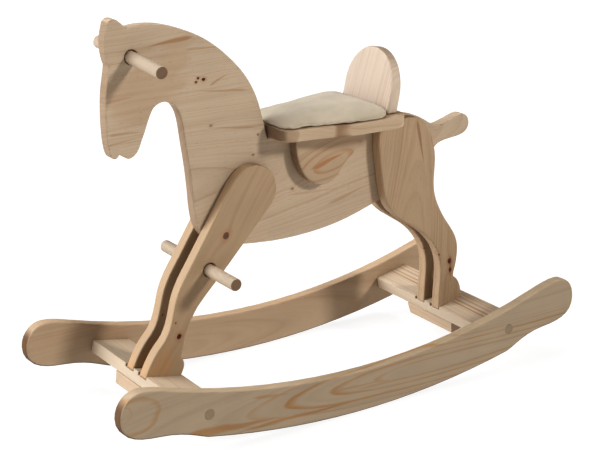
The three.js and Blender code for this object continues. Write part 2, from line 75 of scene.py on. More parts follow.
class Tree:
    """Builds one material's node tree. Every method returns the socket that it makes."""

    def __init__(self, name, roughness=0.6):
        self.material = bpy.data.materials.new(name)
        self.material.use_nodes = True
        self.tree = self.material.node_tree
        self.tree.nodes.clear()
        self.shader = self.tree.nodes.new("ShaderNodeBsdfPrincipled")
        output = self.tree.nodes.new("ShaderNodeOutputMaterial")
        self.tree.links.new(self.shader.outputs["BSDF"], output.inputs["Surface"])
        self.shader.inputs["Roughness"].default_value = roughness
        coordinates = self.tree.nodes.new("ShaderNodeTexCoord")
        self.position = coordinates.outputs["Object"]
        self.normal = coordinates.outputs["Normal"]

    def put(self, socket, value):
        """Links a socket to an input, or sets the input to a plain value."""
        if isinstance(value, bpy.types.NodeSocket):
            self.tree.links.new(value, socket)
        else:
            socket.default_value = value

    def math(self, operation, a, b=None, c=None):
        node = self.tree.nodes.new("ShaderNodeMath")
        node.operation = operation
        for i, value in enumerate((a, b, c)):
            if value is not None:
                self.put(node.inputs[i], value)
        return node.outputs[0]

    def vector(self, operation, a, b=None, scale=None):
        node = self.tree.nodes.new("ShaderNodeVectorMath")
        node.operation = operation
        self.put(node.inputs[0], a)
        if b is not None:
            self.put(node.inputs[1], b)
        if scale is not None:
            self.put(node.inputs["Scale"], scale)
        return node.outputs["Value" if operation == "DOT_PRODUCT" else "Vector"]

    def combine(self, x, y, z):
        node = self.tree.nodes.new("ShaderNodeCombineXYZ")
        for socket, value in zip(node.inputs, (x, y, z)):
            self.put(socket, value)
        return node.outputs[0]

    def noise(self, vector, scale=1.0, detail=2.0, roughness=0.5):
        node = self.tree.nodes.new("ShaderNodeTexNoise")
        self.put(node.inputs["Vector"], vector)
        for key, value in (("Scale", scale), ("Detail", detail), ("Roughness", roughness)):
            self.put(node.inputs[key], value)
        return node.outputs["Fac"]

    def centred(self, value):
        """A noise of 0 to 1 moved to swing about 0."""
        return self.math("SUBTRACT", value, 0.5)

    def white(self, value):
        """A fixed random number of 0 to 1 for each value."""
        node = self.tree.nodes.new("ShaderNodeTexWhiteNoise")
        node.noise_dimensions = "1D"
        self.put(node.inputs["W"], value)
        return node.outputs["Value"]

    def ramp(self, factor, stops):
        """A grey that eases through (place, grey) stops."""
        node = self.tree.nodes.new("ShaderNodeValToRGB")
        node.color_ramp.interpolation = "EASE"
        elements = node.color_ramp.elements
        while len(elements) < len(stops):
            elements.new(0.5)
        for element, (place, value) in zip(elements, stops):
            element.position = place
            element.color = (value, value, value, 1)
        self.put(node.inputs["Fac"], factor)
        return node.outputs["Color"]

    def span(self, value, low, high, to_low=0.0, to_high=1.0, smooth=True):
        """A value's way from low to high, clamped and mapped to another range."""
        node = self.tree.nodes.new("ShaderNodeMapRange")
        node.interpolation_type = "SMOOTHSTEP" if smooth else "LINEAR"
        for i, v in enumerate((value, low, high, to_low, to_high)):
            self.put(node.inputs[i], v)
        return node.outputs[0]

    def mix(self, factor, a, b, blend="MIX"):
        node = self.tree.nodes.new("ShaderNodeMix")
        node.data_type = "RGBA"
        node.blend_type = blend
        self.put(node.inputs["Factor"], factor)
        self.put(node.inputs["A"], a)
        self.put(node.inputs["B"], b)
        return node.outputs["Result"]

    def bump(self, height, distance, strength):
        node = self.tree.nodes.new("ShaderNodeBump")
        node.inputs["Distance"].default_value = distance
        node.inputs["Strength"].default_value = strength
        self.put(node.inputs["Height"], height)
        return node.outputs["Normal"]


# ------------------------------------------------------------------ pine
PALE = (203, 184, 162)
LATE = (170, 124, 82)
KNOT = (82, 44, 26)
END_GRAIN = (160, 140, 122)
RESIN = (168, 108, 62)
# Colour of the painted shade on down-facing surfaces.
UNDERSIDE_SHADE_COLOUR = (96, 84, 74)
DUCT_DARKNESS = 0.35

# A board's face as its two directions. Depth is counted from the face along their product.
SIDE = ((1, 0, 0), (0, 0, 1))

# One year's growth as (share of the ring, darkness): pale early wood, then late wood with a
# sharp outer edge.
SEASONS = ((0.0, 0.0), (0.3, 0.03), (0.62, 0.3), (0.84, 0.85), (0.93, 1.0), (1.0, 0.0))


class Grain:
    """Where a point of a board lies in its tree, as sockets in mm: along the grain, across it
    on the board's face, deep under that face, and at what radius from the pith."""

    def __init__(self, tree, origin, plane, slope, seed):
        self.tree = tree
        self.seed = seed
        self.turn = math.radians(slope)
        u_axis, v_axis = (Vector(axis).normalized() for axis in plane)
        self.along_axis = u_axis * math.cos(self.turn) + v_axis * math.sin(self.turn)
        self.across_axis = v_axis * math.cos(self.turn) - u_axis * math.sin(self.turn)
        self.depth_axis = self.along_axis.cross(self.across_axis)
        local = tree.vector("SUBTRACT", tree.position, tuple(Vector(origin) * MM))
        self.local = tree.vector("SCALE", local, scale=1000.0)
        self.along = tree.vector("DOT_PRODUCT", self.local, tuple(self.along_axis))
        self.across = tree.vector("DOT_PRODUCT", self.local, tuple(self.across_axis))
        self.depth = tree.vector("DOT_PRODUCT", self.local, tuple(self.depth_axis))
        self.stray = tree.combine(
            tree.math("MULTIPLY_ADD", self.along, 0.0034, seed * 13.7),
            tree.math("MULTIPLY", self.across, 0.009),
            tree.math("MULTIPLY_ADD", self.depth, 0.009, seed * 3.1),
        )
        fine = tree.vector("SCALE", self.stray, scale=5.0)
        self.fine_stray = tree.centred(tree.noise(fine, 1.0, 1.0, 0.5))
        self.radius = None

    def on_grain(self, u, v):
        """A place on the face as distances along and across the grain."""
        cos, sin = math.cos(self.turn), math.sin(self.turn)
        return u * cos + v * sin, v * cos - u * sin

    def measure_radius(self, pith, lean, grazing, wander):
        """Sets the distance from the pith, strayed from round."""
        t = self.tree
        slow_stray = t.centred(t.noise(self.stray, 1.0, 1.0, 0.4))
        y = t.math("SUBTRACT", self.across,
                   t.math("MULTIPLY_ADD", self.along, lean[0], pith[0]))
        z = t.math("SUBTRACT", self.depth, t.math("MULTIPLY_ADD", self.along, lean[1], pith[1]))
        if grazing:
            z = t.math("SMOOTH_MAX", z, grazing, 12.0)
        radius = t.math("SQRT", t.math("MULTIPLY_ADD", y, y, t.math("MULTIPLY", z, z)))
        radius = t.math("MULTIPLY_ADD", slow_stray, wander * 4.0, radius)
        self.radius = t.math("MULTIPLY_ADD", self.fine_stray, wander * 0.45, radius)

    def add_knots(self, knots, pith):
        """Bends the rings round each knot. Returns how dark the knots and their halos are."""
        t = self.tree
        core = halo = None
        for number, (u, v, size, dark) in enumerate(knots):
            at, off = self.on_grain(u, v)
            dx = t.math("MULTIPLY_ADD", self.depth, 0.25, t.math("SUBTRACT", self.along, at))
            dy = t.math("SUBTRACT", self.across, off)
            distance = t.math("SQRT", t.math("MULTIPLY_ADD", dx, t.math("MULTIPLY", dx, 0.62),
                                             t.math("MULTIPLY", dy, dy)))
            place = t.combine(self.along, self.across, number * 3.0)
            ragged = t.centred(t.noise(place, 0.9 / size, 2.0))
            share = t.math("DIVIDE", t.math("MULTIPLY_ADD", ragged, size * 0.7, distance), size)
            fall = t.math("MULTIPLY", t.math("MULTIPLY", share, share), -0.12)
            push = t.math("MULTIPLY", t.math("EXPONENT", fall), size * 1.2)
            side = t.math("SIGN", t.math("SUBTRACT", self.across, pith[0]))
            self.radius = t.math("MULTIPLY_ADD", push, side, self.radius)
            here = t.math("MULTIPLY", t.span(share, 0.7, 1.1, 1.0, 0.0), dark)
            near = t.math("MULTIPLY", t.span(share, 0.9, 2.6, 1.0, 0.0), 0.32 * dark)
            core = here if core is None else t.math("MAXIMUM", core, here)
            halo = near if halo is None else t.math("MAXIMUM", halo, near)
        return core, halo

    def rings(self, spacing, contrast):
        """The late wood of ordinary years, each year of its own width and strength."""
        t = self.tree
        place = t.combine(t.math("MULTIPLY", self.radius, 0.06), self.seed, 0.0)
        count = t.math("MULTIPLY_ADD", t.noise(place, 1.0, 1.0), 2.4,
                       t.math("DIVIDE", self.radius, spacing))
        year = t.math("FLOOR", count)
        strength = t.math("POWER", t.white(t.math("ADD", year, self.seed)), 1.6)
        strength = t.span(strength, 0, 1, 0.12, 1.0, smooth=False)
        ring = t.ramp(t.math("FRACT", count), SEASONS)
        return t.math("MULTIPLY", t.math("MULTIPLY", ring, strength), contrast)

    def patches(self):
        """How strongly the drawn figures show, changing along the board."""
        t = self.tree
        place = t.combine(t.math("MULTIPLY_ADD", self.along, 0.012, self.seed * 5.3),
                          t.math("MULTIPLY", self.across, 0.05), 0.0)
        return t.span(t.noise(place, 1.0, 2.0, 0.5), 0.3, 0.62, 0.45, 1.0)

    def band(self, at, width, strength):
        """A ring of late wood that ends sharply at a radius."""
        t = self.tree
        outside = t.math("DIVIDE", t.math("SUBTRACT", self.radius, at), width)
        line = t.math("MULTIPLY", t.span(outside, -1.0, 0.0), t.span(outside, 0.0, 0.3, 1.0, 0.0))
        return t.math("MULTIPLY", line, strength)

    def eye(self, u, v, length, width, strength):
        """A closed ring about a place on the face."""
        t = self.tree
        at, off = self.on_grain(u, v)
        a = t.math("DIVIDE", t.math("SUBTRACT", self.along, at), length)
        c = t.math("DIVIDE", t.math("SUBTRACT", self.across, off), width)
        reach = t.math("SQRT", t.math("MULTIPLY_ADD", a, a, t.math("MULTIPLY", c, c)))
        reach = t.math("MULTIPLY_ADD", self.fine_stray, 0.5, reach)
        line = t.math("MULTIPLY", t.span(reach, 0.72, 1.0), t.span(reach, 1.0, 1.1, 1.0, 0.0))
        return t.math("MULTIPLY", line, strength)

    def mark(self, u0, v0, u1, v1, width, strength):
        """A streak from one place on the face to another."""
        t = self.tree
        a0, c0 = self.on_grain(u0, v0)
        a1, c1 = self.on_grain(u1, v1)
        length = math.hypot(a1 - a0, c1 - c0)
        run = ((a1 - a0) / length, (c1 - c0) / length)
        a = t.math("SUBTRACT", self.along, a0)
        c = t.math("SUBTRACT", self.across, c0)
        forward = t.math("MULTIPLY_ADD", a, run[0], t.math("MULTIPLY", c, run[1]))
        aside = t.math("MULTIPLY_ADD", a, -run[1], t.math("MULTIPLY", c, run[0]))
        aside = t.math("MULTIPLY_ADD", self.fine_stray, width * 1.2, aside)
        part = t.math("DIVIDE", forward, length)
        half = t.math("MULTIPLY", t.span(part, -0.12, 0.15), t.span(part, 0.1, 1.05, 1.0, 0.05))
        half = t.math("MULTIPLY_ADD", half, width, 0.01)
        body = t.span(t.math("DIVIDE", t.math("ABSOLUTE", aside), half), 0.3, 1.0, 1.0, 0.0)
        fade = t.math("MULTIPLY", t.span(part, -0.1, 0.1), t.span(part, 0.6, 1.0, 1.0, 0.0))
        return t.math("MULTIPLY", t.math("MULTIPLY", body, fade), strength)

    def lengthways(self, stretch, phase, pitch):
        """A place in a noise that is drawn out along the grain."""
        t = self.tree
        return t.combine(t.math("MULTIPLY_ADD", self.along, stretch, phase),
                         t.math("MULTIPLY", self.across, pitch),
                         t.math("MULTIPLY", self.depth, pitch))

    def facing(self, axis):
        """How squarely the surface faces an axis, either way along it."""
        t = self.tree
        return t.math("ABSOLUTE", t.vector("DOT_PRODUCT", t.normal, tuple(axis)))


def pine(name, origin, plane=SIDE, slope=0.0, pith=(0, -60), lean=(0, 0.06), spacing=5.0,
         wander=6.0, contrast=0.45, pale=PALE, late=LATE, bands=(), eyes=(), marks=(),
         knots=(), grazing=None, seed=0.0, fibre=1.0, ducts=0.35, end=0.5, underside_shade=0.0, edge_tone_and_light=0.0):
    """A board's material, in mm. origin is a point on the board's face and plane the face's two
    directions. The grain runs at slope degrees in that plane. The growth rings are cylinders
    about the pith, which passes the origin at pith = (across, deep) and leans by lean for each
    unit of length along the grain. wander is how far the rings stray from round, and grazing
    keeps the rings at least that far from their pith. fibre, ducts and end set how strongly the
    fibres, the resin ducts and the darker end grain show. underside_shade is how strongly painted
    shade darkens the down-facing surfaces, and edge_tone_and_light how much paler the cut edges
    are than the planed face, partly their own tone and partly painted light.
    Places are (u, v) on the face from the origin:
    band  (radius, width, strength)         a ring of dark late wood
    eye   (u, v, length, width, strength)   a closed ring that the saw has cut across
    mark  (u, v, u, v, width, strength)     a streak of late-wood colour, tapering to its second end: resin, and painted shade and light where noted
    knot  (u, v, radius, darkness)"""
    t = Tree(name)
    grain = Grain(t, origin, plane, slope, seed)
    grain.measure_radius(pith, lean, grazing, wander)
    core, halo = grain.add_knots(knots, pith)

    late_share = grain.rings(spacing, contrast)
    patches = grain.patches()
    drawn = [t.math("MULTIPLY", grain.band(*row), patches) for row in bands]
    drawn += [t.math("MULTIPLY", grain.eye(*row), patches) for row in eyes]
    drawn += [grain.mark(*row) for row in marks]
    for amount in drawn:
        late_share = t.math("MAXIMUM", late_share, amount)

    threads = t.noise(grain.lengthways(0.012, seed, 1.3), 1.0, 3.0, 0.6)
    duct = t.noise(grain.lengthways(0.09, seed * 2.0, 1.1), 1.0, 1.0, 0.4)
    duct = t.math("MULTIPLY", t.span(duct, 0.66, 0.78), ducts)
    streaks = t.noise(t.combine(t.math("MULTIPLY_ADD", grain.along, 0.0035, seed),
                                t.math("MULTIPLY", grain.radius, 0.13), 0.0), 1.0, 2.0, 0.5)
    clouds = t.noise(t.vector("SCALE", grain.local, scale=0.011), 1.0, 2.0, 0.5)

    colour = t.mix(late_share, linear(pale), linear(late))
    warm = t.math("MULTIPLY", t.span(streaks, 0.42, 0.72), 0.13)
    colour = t.mix(warm, colour, linear([c * 0.93 for c in pale]), "MULTIPLY")
    tone = t.math("MULTIPLY_ADD", t.centred(threads), 0.13 * fibre, 1.0)
    tone = t.math("MULTIPLY_ADD", t.centred(clouds), 0.14, tone)
    tone = t.math("MULTIPLY_ADD", duct, -DUCT_DARKNESS, tone)
    colour = t.vector("SCALE", colour, scale=tone)
    if knots:
        colour = t.mix(halo, colour, linear(RESIN))
        colour = t.mix(core, colour, linear(KNOT))
    # Cut edges made paler than the planed face: partly the edge grain's own tone, partly painted
    # light for the brighter lit top edges.
    if edge_tone_and_light:
        planed = grain.facing(grain.depth_axis)
        colour = t.vector("SCALE", colour, scale=t.span(planed, 0.35, 0.9, 1.0 + edge_tone_and_light, 1.0))
    end_grain = t.span(grain.facing(grain.along_axis), 0.6, 0.95)
    colour = t.mix(t.math("MULTIPLY", end_grain, end), colour, linear(END_GRAIN), "MULTIPLY")
    # Painted shade: surfaces facing down are darkened, as if in the shade under the rockers.
    if underside_shade:
        down = t.vector("DOT_PRODUCT", t.normal, (0.0, 0.0, -1.0))
        painted_underside_shade = t.math("MULTIPLY", t.span(down, 0.1, 0.75), underside_shade)
        colour = t.mix(painted_underside_shade, colour, linear(UNDERSIDE_SHADE_COLOUR), "MULTIPLY")
    t.put(t.shader.inputs["Base Color"], colour)

    gloss = t.math("MULTIPLY_ADD", threads, 0.16, 0.5)
    gloss = t.math("MULTIPLY_ADD", late_share, -0.10, gloss)
    gloss = t.math("MULTIPLY_ADD", end_grain, 0.16, gloss)
    t.put(t.shader.inputs["Roughness"], gloss)
    relief = t.math("MULTIPLY_ADD", threads, 0.8, t.math("MULTIPLY", late_share, 0.8))
    relief = t.math("MULTIPLY_ADD", duct, -1.0, relief)
    if knots:
        relief = t.math("MULTIPLY_ADD", core, -1.2, relief)
    relief = t.math("MULTIPLY_ADD", clouds, 3.0, relief)
    t.put(t.shader.inputs["Normal"], t.bump(relief, 0.00012, 0.7))
    t.shader.inputs["Specular IOR Level"].default_value = 0.35
    return t.material


# ------------------------------------------------------------------ other materials
PLY_PAIR = 2.7
THREAD_PITCH = 0.9


def steel(name):
    """Zinc-plated screw steel with turned marks and a dull passivation bloom."""
    t = Tree(name, 0.35)
    local = t.vector("SCALE", t.position, scale=1000.0)
    bloom = t.noise(local, 0.35, 3.0, 0.6)
    marks = t.noise(t.vector("MULTIPLY", local, (6.0, 6.0, 0.8)), 1.0, 2.0)
    colour = t.mix(t.span(bloom, 0.35, 0.7), linear((190, 192, 196)), linear((158, 158, 150)))
    t.put(t.shader.inputs["Base Color"], colour)
    t.shader.inputs["Metallic"].default_value = 1.0
    t.put(t.shader.inputs["Roughness"], t.math("MULTIPLY_ADD", bloom, 0.3, 0.22))
    t.put(t.shader.inputs["Normal"], t.bump(marks, 0.00004, 0.5))
    return t.material


def plywood(name):
    """Thin plywood: faint face grain, and plies on its edge."""
    t = Tree(name, 0.7)
    local = t.vector("SCALE", t.position, scale=1000.0)
    height = t.vector("DOT_PRODUCT", local, (0.0, 0.0, 1.0))
    ply = t.math("FRACT", t.math("DIVIDE", height, PLY_PAIR))
    layers = t.span(ply, 0.45, 0.55)
    grain = t.noise(t.vector("MULTIPLY", local, (0.03, 0.9, 0.9)), 1.0, 3.0, 0.6)
    colour = t.mix(layers, linear((206, 180, 142)), linear((170, 136, 98)))
    colour = t.vector("SCALE", colour, scale=t.math("MULTIPLY_ADD", grain, 0.3, 0.85))
    t.put(t.shader.inputs["Base Color"], colour)
    t.put(t.shader.inputs["Roughness"], t.math("MULTIPLY_ADD", grain, 0.2, 0.6))
    t.put(t.shader.inputs["Normal"], t.bump(grain, 0.0001, 0.6))
    return t.material


def canvas(name):
    """Plain-woven cotton canvas, washed a little unevenly."""
    t = Tree(name, 0.9)
    local = t.vector("SCALE", t.position, scale=1000.0)
    wobble = t.noise(local, 0.25, 2.0, 0.5)
    x = t.vector("DOT_PRODUCT", local, (1.0, 0.0, 0.35))
    y = t.vector("DOT_PRODUCT", local, (0.0, 1.0, 0.35))
    turns = 2 * math.pi / THREAD_PITCH
    warp = t.math("SINE", t.math("MULTIPLY_ADD", x, turns, t.math("MULTIPLY", wobble, 3.0)))
    weft = t.math("SINE", t.math("MULTIPLY_ADD", y, turns, t.math("MULTIPLY", wobble, 3.0)))
    weave = t.math("MULTIPLY", warp, weft)
    slub = t.noise(t.vector("MULTIPLY", local, (0.12, 1.8, 1.2)), 1.0, 3.0, 0.6)
    slub_across = t.noise(t.vector("MULTIPLY", local, (1.8, 0.12, 1.2)), 1.0, 3.0, 0.6)
    wash = t.noise(local, 0.02, 3.0, 0.55)
    colour = t.mix(t.span(wash, 0.3, 0.7), linear((200, 188, 170)), linear((189, 178, 159)))
    tone = t.math("MULTIPLY_ADD", weave, 0.045, 1.0)
    tone = t.math("MULTIPLY_ADD", t.centred(slub), 0.12, tone)
    tone = t.math("MULTIPLY_ADD", t.centred(slub_across), 0.12, tone)
    t.put(t.shader.inputs["Base Color"], t.vector("SCALE", colour, scale=tone))
    t.put(t.shader.inputs["Roughness"], t.math("MULTIPLY_ADD", slub, 0.12, 0.84))
    height = t.math("MULTIPLY_ADD", weave, 0.5, t.math("ADD", slub, slub_across))
    t.put(t.shader.inputs["Normal"], t.bump(height, 0.00022, 0.6))
    t.shader.inputs["Sheen Weight"].default_value = 0.25
    t.shader.inputs["Sheen Roughness"].default_value = 0.5
    t.shader.inputs["Specular IOR Level"].default_value = 0.2
    return t.material


# ------------------------------------------------------------------ boards
FITTINGS = [name for name in nodes if "_pin_" in name or "screw" in name or "plug" in name]
LEGS = [name for name in nodes if "_leg_" in name and name not in FITTINGS]
ARRIS = math.radians(38)
HOLE_REACH = 1.2 * MM
WELD_DISTANCE = 0.00002
FLATNESS = math.radians(0.4)
SHADE_WEIGHT = 60


def arris_marker(label, names):
    """A node group that marks a board's arrises for rounding, but not the rims of its holes
    and housings, which lie close to the named pieces."""
    group = bpy.data.node_groups.new(label, "GeometryNodeTree")
    for way in ("INPUT", "OUTPUT"):
        group.interface.new_socket("Geometry", in_out=way, socket_type="NodeSocketGeometry")
    entry = group.nodes.new("NodeGroupInput")
    leave = group.nodes.new("NodeGroupOutput")
    joined = group.nodes.new("GeometryNodeJoinGeometry")
    for name in names:
        piece = group.nodes.new("GeometryNodeObjectInfo")
        piece.transform_space = "RELATIVE"
        piece.inputs["Object"].default_value = nodes[name]
        group.links.new(piece.outputs["Geometry"], joined.inputs["Geometry"])
    near = group.nodes.new("GeometryNodeProximity")
    group.links.new(joined.outputs["Geometry"], near.inputs[0])
    clear = group.nodes.new("FunctionNodeCompare")
    clear.inputs[1].default_value = HOLE_REACH
    group.links.new(near.outputs["Distance"], clear.inputs[0])
    bend = group.nodes.new("GeometryNodeInputMeshEdgeAngle")
    sharp = group.nodes.new("FunctionNodeCompare")
    sharp.inputs[1].default_value = ARRIS
    group.links.new(bend.outputs["Unsigned Angle"], sharp.inputs[0])
    both = group.nodes.new("ShaderNodeMath")
    both.operation = "MULTIPLY"
    group.links.new(clear.outputs["Result"], both.inputs[0])
    group.links.new(sharp.outputs["Result"], both.inputs[1])
    store = group.nodes.new("GeometryNodeStoreNamedAttribute")
    store.data_type = "FLOAT"
    store.domain = "EDGE"
    store.inputs["Name"].default_value = "bevel_weight_edge"
    group.links.new(entry.outputs[0], store.inputs["Geometry"])
    group.links.new(both.outputs[0], store.inputs["Value"])
    group.links.new(store.outputs["Geometry"], leave.inputs[0])
    return group


drilled = arris_marker("arrises_of_drilled_board", FITTINGS)
housed = arris_marker("arrises_of_housed_board", FITTINGS + LEGS)


def dress(name, material, rounding=3.2, segments=4, marker=drilled):
    """Gives a CAD node its material, and rounds its arrises with modifiers by rounding mm."""
    node = nodes[name]
    node.data.materials.clear()
    node.data.materials.append(material)
    weld = node.modifiers.new("weld", "WELD")
    weld.merge_threshold = WELD_DISTANCE
    flat = node.modifiers.new("flat", "DECIMATE")
    flat.decimate_type = "DISSOLVE"
    flat.angle_limit = FLATNESS
    if marker:
        arrises = node.modifiers.new("arrises", "NODES")
        arrises.node_group = marker
    if rounding:
        bevel = node.modifiers.new("round", "BEVEL")
        bevel.width = rounding * MM
        bevel.segments = segments
        bevel.limit_method = "WEIGHT" if marker else "ANGLE"
        bevel.angle_limit = ARRIS
        bevel.use_clamp_overlap = False
        bevel.loop_slide = False
        bevel.miter_outer = "MITER_SHARP"
    shade = node.modifiers.new("shade", "WEIGHTED_NORMAL")
    shade.mode = "FACE_AREA"
    shade.weight = SHADE_WEIGHT
    shade.keep_sharp = False


def spot(name, u, v, w):
    """A point in mm at shares of a node's box."""
    low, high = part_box(name)
    return Vector([a + (b - a) * share for a, b, share in zip(low, high, (u, v, w))]) / MM


# The face that each board shows the camera is its left one.
dress("horse_body", pine(
    "horse_body", spot("horse_body", 0.5, 1, 0), slope=-4, pith=(120, -70), lean=(0.02, 0.10),
    spacing=4.0, wander=5.0, contrast=0.42, seed=5.0, fibre=1.9, ducts=0.8,
    pale=(192, 175, 154), late=(164, 126, 86), edge_tone_and_light=0.22,
    # The first mark is a broad darkening over the head and upper neck.
    marks=[(310, 225, 170, 372, 75, 0.25), (190, 337, 284, 330, 5, 0.75),
           (205, 320, 110, 316, 3, 0.4), (333, 258, 276, 263, 4, 0.5),
           (330, 211, 262, 207, 3, 0.45), (333, 196, 276, 201, 2.5, 0.4),
           (98, 247, 205, 258, 3, 0.5), (162, 261, 124, 279, 3, 0.5),
           (84, 188, 188, 200, 2.5, 0.45), (-50, 42, -150, 66, 4, 0.4),
           (20, 70, -110, 62, 3, 0.3)],
    knots=[(173, 272, 2.6, 1.0), (182, 275, 1.9, 0.95), (185.5, 269.5, 1.8, 0.9),
           (162, 201, 2.2, 0.4), (80, 175, 1.9, 0.5), (89, 145, 1.7, 0.55), (18, 79, 2.2, 0.45)]),
    rounding=2.1)

dress("rocker_left", pine(
    "rocker_left", spot("rocker_left", 0.5, 1, 0), pith=(45, -14.3), lean=(0, -0.12),
    grazing=2, spacing=7.0, wander=4.0, contrast=0.08, pale=(169, 153, 132),
    late=(160, 122, 76), seed=3.0, edge_tone_and_light=0.45, end=1.0, fibre=1.5,
    bands=[(12, 2, 0.6), (20, 3, 0.75), (30, 3.5, 0.8), (38, 2.5, 0.45)], underside_shade=1.0,
    eyes=[(403, 92, 38, 28, 0.5), (420, 100, 13, 12, 0.3)],
    marks=[(322, 44, 130, 26, 9, 0.75), (225, 25, -160, 17, 4, 0.75),
           (206, 72, 130, 62, 4, 0.5), (60, 47, -60, 40, 3, 0.4), (14, 39, -243, 29, 2.5, 0.4),
           (14, 63, -142, 63, 2.5, 0.4)]),
    rounding=3.4)
dress("rocker_right", pine(
    "rocker_right", spot("rocker_right", 0.5, 1, 0), pith=(30, -40), lean=(0, 0.10),
    spacing=5.0, wander=4.0, contrast=0.14, pale=(180, 159, 135), seed=1.0, underside_shade=1.0,
    edge_tone_and_light=0.3, end=1.0, bands=[(60, 4, 0.25), (74, 4, 0.3)]), rounding=3.4)

for side in ("left", "right"):
    dress(f"front_leg_{side}", pine(
        f"front_leg_{side}", spot(f"front_leg_{side}", 0.5, 1, 0), slope=-57,
        pith=(-30, -60), lean=(0.02, 0.03), spacing=4.0, wander=4.0, contrast=0.15,
        fibre=1.8, pale=(176, 154, 128), late=(188, 150, 110), seed=11.0, edge_tone_and_light=0.25,
        # This mark is painted warm light: a redder, warmer tone towards the foot.
        marks=[(112, -20, 66, 75, 42, 0.5)],
        knots=[(-26, 213, 5.5, 0.75), (59, 69, 4.0, 1.0), (64, 92, 1.4, 0.7)]), rounding=2.7)
    dress(f"hind_leg_{side}", pine(
        f"hind_leg_{side}", spot(f"hind_leg_{side}", 0.5, 1, 0), slope=-88,
        pith=(30, -50), lean=(0.03, 0.06), spacing=3.6, wander=4.0, contrast=0.5,
        fibre=2.8, pale=(180, 158, 132), late=(138, 100, 66), seed=21.0, ducts=0.8,
        edge_tone_and_light=0.2,
        marks=[(15, 338, -5, 250, 4.5, 0.6), (-12, 322, -21, 280, 2.5, 0.35),
               (-62, 92, -66, 40, 5, 0.6)],
        knots=[(-61, 84, 4.2, 0.95), (-63, 68, 3.2, 0.9), (-39, 99, 1.5, 0.7)]), rounding=2.7)
    dress(f"seat_bracket_{side}", pine(
        f"seat_bracket_{side}", spot(f"seat_bracket_{side}", 0.5, 1, 0), slope=-14,
        pith=(34, 3), lean=(0, 0.37), spacing=7.0, wander=2.5, contrast=0.16,
        pale=(182, 162, 138), late=(168, 118, 70), seed=31.0,
        bands=[(14, 5, 0.5), (24, 3.5, 0.5), (33, 3, 0.3)],
        marks=[(42, 30, -30, 50, 6.5, 0.7)]), rounding=3.6)

# The planks lean with the rockers' curve. Only the rear one has strong bands.
for end, tilt in (("front", 1), ("rear", -1)):
    width_axis = (math.cos(PLANK_TILT), 0, tilt * math.sin(PLANK_TILT))
    plank = f"{end}_cross_plank"
    strong = end == "rear"
    dress(plank, pine(
        plank, spot(plank, 0.5, 0.5, 1), plane=((0, 1, 0), width_axis), pith=(160, 60),
        lean=(0.02, 0.02), spacing=6.0, wander=2.0, contrast=0.6 if strong else 0.25,
        pale=(206, 190, 169), seed=41.0,
        bands=[(165, 4, 0.9), (173, 4, 0.8), (182, 4, 0.7), (190, 3, 0.6)] if strong else ()),
        rounding=1.6, segments=3, marker=housed)
    batten = f"{end}_batten"
    dress(batten, pine(
        batten, spot(batten, 0.5, 0.5, 1), plane=((0, 1, 0), width_axis), pith=(-10, 50),
        spacing=4.5, contrast=0.3, pale=(201, 180, 156), seed=45.0), rounding=1.6, segments=3)

dress("seat_board", pine(
    "seat_board", spot("seat_board", 0.5, 0.5, 1), plane=((1, 0, 0), (0, 1, 0)),
    pith=(20, -60), spacing=4.0, contrast=0.28, pale=(196, 176, 152), late=(140, 106, 76),
    seed=51.0, end=0.7,
    # Both marks are painted shade: a darker front corner, and a darker patch where the concave
    # flare of the edge turns away from the light.
    marks=[(100, 40, 84, 70, 20, 0.3), (26, 64, -30, 68, 18, 0.75)]),
    rounding=3.6)
dress("backrest", pine(
    "backrest", spot("backrest", 1, 0.5, 0), plane=((-0.2, 0, 1), (0, 1, 0)),
    pith=(150, 40), lean=(0.12, 0.0), spacing=6.0, wander=2.0, contrast=0.2,
    pale=(208, 193, 177), seed=55.0, bands=[(105, 2, 0.35), (116, 2, 0.4), (128, 2, 0.3)]),
    rounding=3.6)
dress("seat_pad_base", plywood("pad_base_plywood"), rounding=0.8, segments=2)

for name in ("handle_dowel", "footrest_dowel"):
    dress(name, pine(
        name, spot(name, 0.5, 0.5, 0.5), plane=((0, 1, 0), (1, 0, 0)), pith=(20, -30),
        spacing=3.0, contrast=0.3, pale=(194, 179, 160), seed=61.0, end=0.85),
        rounding=0.6, segments=2)

pin_wood = pine("pin_beech", (0, 0, 300), plane=((0, 1, 0), (1, 0, 0)), spacing=3.0,
                contrast=0.2, pale=(206, 180, 148), seed=71.0)
screw_steel = steel("screw_steel")
for name in nodes:
    if "_pin_" in name:
        dress(name, pin_wood, rounding=0.5, segments=2, marker=None)
    elif "screw" in name:
        dress(name, screw_steel, rounding=0, marker=None)
    elif "plug" in name:
        dress(name, pine(
            name, spot(name, 0.5, 0.5, 0.5), slope=60, pith=(20, -30), spacing=3.2,
            contrast=0.3, pale=(152, 137, 116), seed=81.0),
            rounding=0.2, segments=1, marker=None)


# ------------------------------------------------------------------ cushion
CUSHION_VOXEL = 0.0042
CUSHION_SWELL = 1.0 * MM
CUSHION_CORE = 0.02         # vertices nearer the cushion's axis than this stay where they are
HELD_DEPTH = 0.003          # the cover is held under the pad up to this height
CLOTH_FRAMES = 20
CLOTH_REACH = 0.0022        # the furthest that the cloth may move a vertex
PUCKER_HEIGHT = 9.0         # mm above the cushion's underside, where the puckers have faded
PUCKER_DEPTH = 1.7
PUCKERS_AROUND = 5.5


def apply_modifiers(piece):
    """Bakes a piece's modifiers into its mesh."""
    graph = bpy.context.evaluated_depsgraph_get()
    graph.update()
    baked = bpy.data.meshes.new_from_object(piece.evaluated_get(graph))
    piece.modifiers.clear()
    piece.data = baked


def flat_offset(vertex, centre):
    """A vertex's level offset from the upright axis through centre."""
    offset = vertex.co - centre
    return Vector((offset.x, offset.y, 0))


